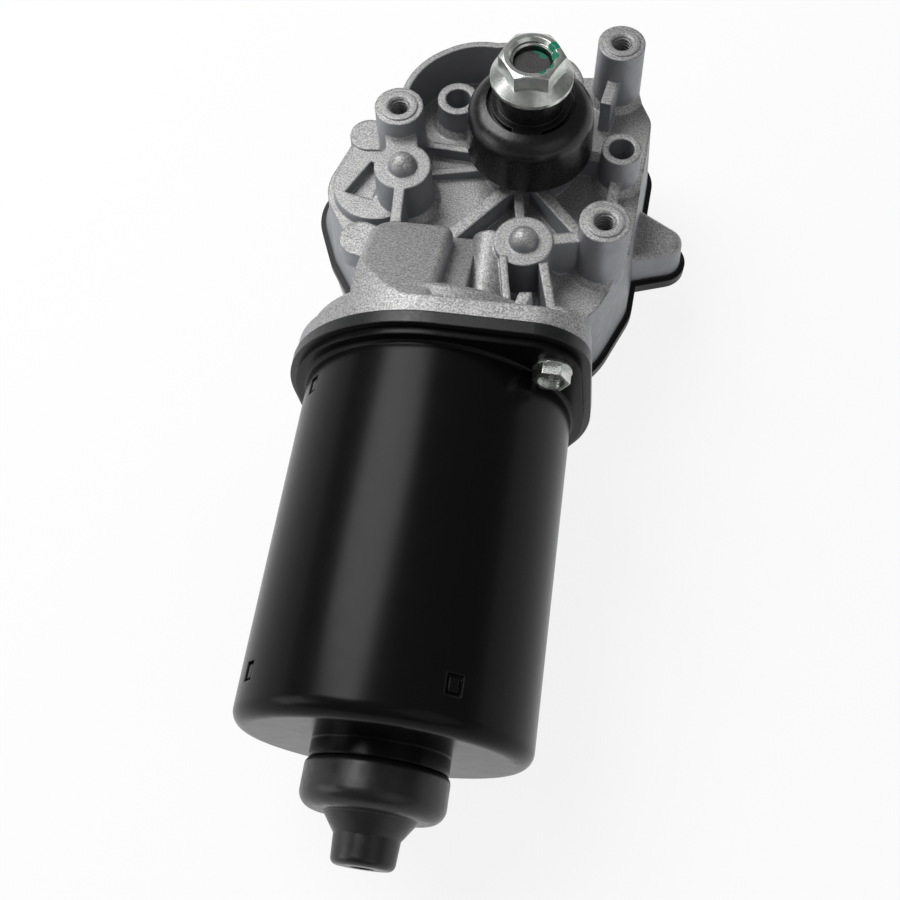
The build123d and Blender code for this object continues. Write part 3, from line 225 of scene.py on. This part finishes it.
def mix_colours(material, share, colour, ramp_value, dark, light):
    """One plain colour, going over with the share to a ramp from dark to light."""
    tree = material.node_tree
    ramp = tree.nodes.new("ShaderNodeValToRGB")
    ramp.color_ramp.elements[0].position = 0.35
    ramp.color_ramp.elements[0].color = (*dark, 1)
    ramp.color_ramp.elements[1].position = 0.68
    ramp.color_ramp.elements[1].color = (*light, 1)
    tree.links.new(ramp_value, ramp.inputs["Fac"])
    mixed = tree.nodes.new("ShaderNodeMix")
    mixed.data_type = "RGBA"
    mixed.inputs[6].default_value = (*colour, 1)
    tree.links.new(share, mixed.inputs["Factor"])
    tree.links.new(ramp.outputs["Color"], mixed.inputs[7])
    return mixed.outputs[2]


aluminium, shader = start_material("blasted_aluminium_painted_wall_shade", (0.4, 0.4, 0.4), 0.55, 0.5)
grain = add_noise(aluminium, 0.42 * MM, detail=3)
# Painted shade: the walls get a plain, darker bluish grey, and only the faces that look up carry
# the lighter grain of the blasted skin.
grain_tops_shade_walls_share = upward_share(aluminium, 0.2, 0.75)
aluminium.node_tree.links.new(
    mix_colours(aluminium, grain_tops_shade_walls_share, (0.29, 0.295, 0.315), grain, (0.2, 0.2, 0.202),
                (0.52, 0.515, 0.51)), shader.inputs["Base Color"])
aluminium.node_tree.links.new(remap(aluminium, add_noise(aluminium, 3 * MM), 0.4, 0.56),
                              shader.inputs["Roughness"])
add_bump(aluminium, shader, grain, 0.09 * MM, edge_round=0.9 * MM)
dress(aluminium, "gear_housing")

# ---------------------------------------------------------------- gear cover and its seal
# A drawn steel cover with a satin black coat closes the case from below, on a thin black
# gasket, held by six pan-head screws.
satin_black, shader = start_material("satin_black_coat", (0.009, 0.009, 0.01), 0.0, 0.45)
shader.inputs["Specular IOR Level"].default_value = 0.3
peel = add_noise(satin_black, 0.6 * MM)
satin_black.node_tree.links.new(remap(satin_black, peel, 0.38, 0.52), shader.inputs["Roughness"])
add_bump(satin_black, shader, peel, 0.03 * MM, edge_round=0.4 * MM)
dress(satin_black, "gear_cover")

seal_rubber, shader = start_material("seal_rubber", (0.016, 0.016, 0.016), 0.0, 0.6)
bloom = add_noise(seal_rubber, 1.5 * MM)
add_tint(seal_rubber, shader, bloom, (0.012, 0.012, 0.012), (0.022, 0.022, 0.022))
add_bump(seal_rubber, shader, bloom, 0.02 * MM)
dress(seal_rubber, "cover_gasket", "o_ring")

# ---------------------------------------------------------------- screws and crank nut
# Cold-headed steel with bright zinc plating: faint draw lines, a few dull spots.
zinc, shader = start_material("bright_zinc", (0.62, 0.64, 0.62), 1.0, 0.26)
cloud = add_noise(zinc, 1.6 * MM, detail=4)
add_tint(zinc, shader, cloud, (0.5, 0.53, 0.5), (0.7, 0.71, 0.69))
zinc.node_tree.links.new(remap(zinc, cloud, 0.34, 0.2), shader.inputs["Roughness"])
add_bump(zinc, shader, add_noise(zinc, 0.3 * MM), 0.01 * MM, edge_round=0.25 * MM)
dress(zinc, "can_screws", "cover_screws")


def add_paint_dab(material, shader, dabs, colour):
    """Paint over the metal inside the given round dabs, with a ragged edge."""
    ragged_share = 0.9
    full_at, bare_at = 1.35, 1.5
    tree = material.node_tree
    place = tree.nodes.new("ShaderNodeTexCoord")
    covered = None
    for spot, reach in dabs:
        away = tree.nodes.new("ShaderNodeVectorMath")
        away.operation = "DISTANCE"
        away.inputs[1].default_value = spot
        tree.links.new(place.outputs["Object"], away.inputs[0])
        ragged = tree.nodes.new("ShaderNodeMath")
        ragged.operation = "MULTIPLY_ADD"
        ragged.inputs[1].default_value = reach * ragged_share
        tree.links.new(add_noise(material, 1.1 * MM, detail=3), ragged.inputs[0])
        tree.links.new(away.outputs["Value"], ragged.inputs[2])
        inside = remap(material, ragged.outputs[0], 1.0, 0.0, reach * full_at, reach * bare_at)
        if covered is None:
            covered = inside
        else:
            both = tree.nodes.new("ShaderNodeMath")
            both.operation = "MAXIMUM"
            tree.links.new(covered, both.inputs[0])
            tree.links.new(inside, both.inputs[1])
            covered = both.outputs[0]
    mixed = tree.nodes.new("ShaderNodeMix")
    mixed.data_type = "RGBA"
    mixed.inputs[7].default_value = (*colour, 1)
    tree.links.new(covered, mixed.inputs["Factor"])
    tree.links.new(shader.inputs["Base Color"].links[0].from_socket, mixed.inputs[6])
    tree.links.new(mixed.outputs[2], shader.inputs["Base Color"])
    tree.links.new(remap(material, covered, shader.inputs["Metallic"].default_value, 0.0, 0, 1),
                   shader.inputs["Metallic"])


# The nut carries the same plating, and a dab of green inspection paint on one side of its
# mouth that runs over on to the shaft's end.
marked_zinc, shader = start_material("marked_zinc", (0.62, 0.64, 0.62), 1.0, 0.26)
cloud = add_noise(marked_zinc, 1.6 * MM, detail=4)
add_tint(marked_zinc, shader, cloud, (0.5, 0.53, 0.5), (0.7, 0.71, 0.69))
add_paint_dab(marked_zinc, shader,
              [((0.0047, 0.0034, 0.0208), 1.5 * MM), ((0.0047, 0.0005, 0.0208), 1.6 * MM),
               ((0.004, -0.0023, 0.0208), 1.5 * MM), ((0.0026, -0.0046, 0.0208), 1.2 * MM)],
              (0.0, 0.16, 0.09))
add_bump(marked_zinc, shader, add_noise(marked_zinc, 0.3 * MM), 0.01 * MM, edge_round=0.25 * MM)
dress(marked_zinc, "crank_nut")

# ---------------------------------------------------------------- connector
# The plug socket is a light grey glass-filled moulding under the gear cover, with four
# tin-bronze blades pressed into it.
grey_moulding, shader = start_material("grey_moulding", (0.4, 0.4, 0.41), 0.0, 0.42)
flow = add_noise(grey_moulding, 6 * MM, detail=3)
add_tint(grey_moulding, shader, flow, (0.37, 0.37, 0.38), (0.43, 0.43, 0.44))
add_bump(grey_moulding, shader, add_noise(grey_moulding, 0.25 * MM), 0.012 * MM,
         edge_round=0.4 * MM)
dress(grey_moulding, "connector_housing")

brass, shader = start_material("brass_strip", (0.75, 0.58, 0.27), 1.0, 0.3)
drawn = add_noise(brass, 1.2 * MM, stretch=(8, 0.6, 8))
add_tint(brass, shader, drawn, (0.62, 0.46, 0.2), (0.82, 0.65, 0.33))
add_bump(brass, shader, drawn, 0.008 * MM)
dress(brass, "connector_terminals", "brush_tubes")

# ---------------------------------------------------------------- brush plate
# A black phenolic plate clamped between the casting and the can; its rim stands proud of
# the can's flange and shows as a dark band with a slight shine.
phenolic, shader = start_material("black_phenolic", (0.008, 0.0085, 0.009), 0.0, 0.36)
shader.inputs["Specular IOR Level"].default_value = 0.35
pressed = add_noise(phenolic, 0.9 * MM)
phenolic.node_tree.links.new(remap(phenolic, pressed, 0.3, 0.42), shader.inputs["Roughness"])
add_bump(phenolic, shader, pressed, 0.02 * MM, edge_round=0.45 * MM)
dress(phenolic, "brush_plate")

# ---------------------------------------------------------------- motor can
# A deep-drawn steel cup in gloss black paint, with a slight orange peel.
gloss_black, shader = start_material("gloss_black_paint", (0.004, 0.004, 0.0042), 0.0, 0.24)
shader.inputs["Specular IOR Level"].default_value = 0.11
orange_peel = add_noise(gloss_black, 3.5 * MM)
gloss_black.node_tree.links.new(remap(gloss_black, orange_peel, 0.23, 0.26),
                                shader.inputs["Roughness"])
add_bump(gloss_black, shader, orange_peel, 0.008 * MM, edge_round=0.7 * MM)
dress(gloss_black, "motor_can")

# ---------------------------------------------------------------- vent boot
# A black rubber boot pulled over the can's bearing spigot, with a moulded nozzle that lets
# the motor breathe and keeps water out.
boot_rubber, shader = start_material("boot_rubber", (0.007, 0.007, 0.0075), 0.0, 0.34)
shader.inputs["Specular IOR Level"].default_value = 0.4
skin = add_noise(boot_rubber, 2.2 * MM)
boot_rubber.node_tree.links.new(remap(boot_rubber, skin, 0.28, 0.4), shader.inputs["Roughness"])
add_bump(boot_rubber, shader, skin, 0.03 * MM, edge_round=0.5 * MM)
dress(boot_rubber, "vent_boot")

# ---------------------------------------------------------------- magnets and armature
# Two ferrite shells in the can; the armature turns between them, a stack of sheet steel
# with enamelled copper in its slots and a copper commutator at the brush end.
ferrite, shader = start_material("ferrite", (0.075, 0.075, 0.08), 0.1, 0.55)
pores = add_noise(ferrite, 0.5 * MM, detail=5)
add_tint(ferrite, shader, pores, (0.055, 0.055, 0.06), (0.1, 0.1, 0.105))
add_bump(ferrite, shader, pores, 0.04 * MM)
dress(ferrite, "field_magnets", "chokes")

stack, shader = start_material("sheet_stack", (0.3, 0.3, 0.32), 0.9, 0.42)
sheets = add_noise(stack, 0.5 * MM, stretch=(0.02, 1, 0.02))
add_tint(stack, shader, sheets, (0.2, 0.2, 0.22), (0.38, 0.38, 0.4))
add_bump(stack, shader, sheets, 0.05 * MM)
dress(stack, "armature_core")

enamel, shader = start_material("enamelled_wire", (0.5, 0.17, 0.06), 0.55, 0.3)
turns = add_noise(enamel, 0.9 * MM, stretch=(1, 0.35, 1))
add_tint(enamel, shader, turns, (0.3, 0.08, 0.03), (0.62, 0.24, 0.09))
add_bump(enamel, shader, turns, 0.15 * MM)
dress(enamel, "armature_windings")

copper, shader = start_material("turned_copper", (0.72, 0.38, 0.22), 1.0, 0.3)
turning = add_noise(copper, 0.3 * MM, stretch=(0.05, 1, 0.05))
add_tint(copper, shader, turning, (0.6, 0.28, 0.15), (0.8, 0.46, 0.28))
add_bump(copper, shader, turning, 0.01 * MM)
dress(copper, "commutator", "contact_ring", "park_contacts")

carbon, shader = start_material("pressed_carbon", (0.04, 0.04, 0.042), 0.1, 0.5)
dust = add_noise(carbon, 0.4 * MM, detail=4)
add_tint(carbon, shader, dust, (0.028, 0.028, 0.03), (0.065, 0.06, 0.055))
add_bump(carbon, shader, dust, 0.02 * MM)
dress(carbon, "brushes")

# ---------------------------------------------------------------- shafts, bearings and pins
# Ground and hardened steel, with a thin film of grease.
steel, shader = start_material("ground_steel", (0.5, 0.5, 0.51), 1.0, 0.28)
ground = add_noise(steel, 0.5 * MM, stretch=(1, 1, 1))
add_tint(steel, shader, ground, (0.42, 0.42, 0.43), (0.58, 0.58, 0.59))
steel.node_tree.links.new(remap(steel, add_noise(steel, 5 * MM), 0.22, 0.36),
                          shader.inputs["Roughness"])
add_bump(steel, shader, ground, 0.006 * MM, edge_round=0.2 * MM)
dress(steel, "armature_shaft", "counter_pin_left", "counter_pin_right", "circlip",
      "shaft_washer", "front_bearing_inner", "front_bearing_outer", "bearing_balls",
      "thrust_ball", "thrust_plug", "brush_springs", "counter_pinion_left",
      "counter_pinion_right", "output_gear")

black_steel, shader = start_material("phosphated_steel", (0.07, 0.068, 0.068), 0.6, 0.42)
phosphate = add_noise(black_steel, 0.4 * MM, detail=4)
add_tint(black_steel, shader, phosphate, (0.045, 0.045, 0.046), (0.095, 0.09, 0.088))
add_paint_dab(black_steel, shader,
              [((0.0009, 0.0045, 0.0185), 1.2 * MM), ((0.0024, 0.0028, 0.0185), 1.1 * MM)],
              (0.0, 0.14, 0.08))
add_bump(black_steel, shader, phosphate, 0.02 * MM, edge_round=0.2 * MM)
dress(black_steel, "output_shaft")

bronze, shader = start_material("sintered_bronze", (0.5, 0.34, 0.17), 0.9, 0.45)
sinter = add_noise(bronze, 0.25 * MM, detail=4)
add_tint(bronze, shader, sinter, (0.36, 0.23, 0.1), (0.58, 0.41, 0.22))
add_bump(bronze, shader, sinter, 0.03 * MM)
dress(bronze, "shaft_bush_upper", "shaft_bush_lower", "worm_bush", "rear_bush")

# ---------------------------------------------------------------- counter wheels and switch
# The two wheels on the worm are natural acetal, and the park switch sits on a strip of
# brown phenolic.
acetal, shader = start_material("natural_acetal", (0.84, 0.81, 0.72), 0.0, 0.38)
shader.inputs["Subsurface Weight"].default_value = 0.1
shader.inputs["Subsurface Scale"].default_value = 1.5 * MM
milky = add_noise(acetal, 5 * MM)
add_tint(acetal, shader, milky, (0.8, 0.77, 0.67), (0.88, 0.86, 0.78))
add_bump(acetal, shader, add_noise(acetal, 0.3 * MM), 0.01 * MM)
dress(acetal, "counter_wheel_left", "counter_wheel_right")

brown_phenolic, shader = start_material("brown_phenolic", (0.2, 0.12, 0.07), 0.0, 0.45)
paper = add_noise(brown_phenolic, 1.0 * MM, detail=4)
add_tint(brown_phenolic, shader, paper, (0.16, 0.09, 0.05), (0.25, 0.16, 0.1))
add_bump(brown_phenolic, shader, paper, 0.02 * MM)
dress(brown_phenolic, "contact_carrier")

# ---------------------------------------------------------------- shaft cap
# A black moulded cap that keeps water off the shaft's upper bush.
cap_moulding, shader = start_material("cap_moulding", (0.007, 0.007, 0.0075), 0.0, 0.3)
shader.inputs["Specular IOR Level"].default_value = 0.4
sheen = add_noise(cap_moulding, 1.2 * MM)
cap_moulding.node_tree.links.new(remap(cap_moulding, sheen, 0.24, 0.34),
                                 shader.inputs["Roughness"])
add_bump(cap_moulding, shader, sheen, 0.02 * MM, edge_round=0.4 * MM)
dress(cap_moulding, "shaft_cap")

# ---------------------------------------------------------------- mounting threads
# The M6 threads cut in the three mounting bosses: a ridge that winds down each hole. It is
# turned once from a wedge-shaped profile and copied into the other two holes.
def wind_ridge(name, root, crest, pitch, turns, start_z):
    """A thread ridge round the Z axis, wound downwards from start_z."""
    foot_share, crest_share = 0.82, 0.2
    steps_per_turn = 24
    bpy.ops.object.select_all(action="DESELECT")
    bpy.ops.mesh.primitive_plane_add(size=pitch, location=(0, 0, 0))
    ridge = bpy.context.active_object
    ridge.name = name
    bpy.ops.object.mode_set(mode="EDIT")
    bpy.ops.mesh.select_all(action="SELECT")
    bpy.ops.transform.rotate(value=pi / 2, orient_axis="X", center_override=(0, 0, 0))
    bpy.ops.transform.resize(value=((root - crest) / pitch, 1, foot_share),
                             center_override=(0, 0, 0))
    bpy.ops.transform.translate(value=((root + crest) / 2, 0, start_z))
    bpy.ops.object.mode_set(mode="OBJECT")
    for vertex in ridge.data.vertices:
        vertex.select = vertex.co.x < (root + crest) / 2
    for edge in ridge.data.edges:
        edge.select = all(ridge.data.vertices[v].select for v in edge.vertices)
    for polygon in ridge.data.polygons:
        polygon.select = False
    bpy.ops.object.mode_set(mode="EDIT")
    bpy.ops.transform.resize(value=(1, 1, crest_share), center_override=(crest, 0, start_z))
    bpy.ops.object.mode_set(mode="OBJECT")
    wind = ridge.modifiers.new("wind", "SCREW")
    wind.axis = "Z"
    wind.steps = steps_per_turn
    wind.render_steps = steps_per_turn
    wind.iterations = turns
    wind.screw_offset = -pitch
    bpy.ops.object.modifier_apply(modifier="wind")
    bpy.ops.object.mode_set(mode="EDIT")
    bpy.ops.mesh.select_all(action="SELECT")
    bpy.ops.mesh.remove_doubles(threshold=0.001 * MM)
    bpy.ops.mesh.fill_holes(sides=4)
    bpy.ops.mesh.select_all(action="SELECT")
    bpy.ops.mesh.normals_make_consistent(inside=False)
    bpy.ops.object.mode_set(mode="OBJECT")
    bpy.ops.object.shade_smooth_by_angle(angle=radians(35))
    return ridge


first_thread = wind_ridge("mount_thread_a", root=2.55 * MM, crest=2.2 * MM, pitch=1.0 * MM,
                          turns=9, start_z=-0.9 * MM)
for name, spot in (("mount_thread_b", (21.17, -29.41)), ("mount_thread_c", (20.88, 27.95)),
                   ("mount_thread_a", (-33.55, 0.15))):
    thread = first_thread
    if name != first_thread.name:
        thread = first_thread.copy()
        thread.data = first_thread.data.copy()
        thread.name = name
        scene.collection.objects.link(thread)
    bpy.ops.object.select_all(action="DESELECT")
    thread.select_set(True)
    bpy.context.view_layer.objects.active = thread
    bpy.ops.object.mode_set(mode="EDIT")
    bpy.ops.mesh.select_all(action="SELECT")
    bpy.ops.transform.translate(value=(spot[0] * MM, spot[1] * MM, 0))
    bpy.ops.object.mode_set(mode="OBJECT")
    thread.data.materials.append(aluminium)
    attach(thread, "root")

# ---------------------------------------------------------------- nut thread
# The first turns of the M10 thread inside the crank nut's mouth, above the shaft's end.
nut_thread = wind_ridge("nut_thread", root=5.1 * MM, crest=4.6 * MM, pitch=1.25 * MM,
                        turns=1, start_z=20.0 * MM)
nut_thread.data.materials.append(marked_zinc)
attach(nut_thread, "nut")
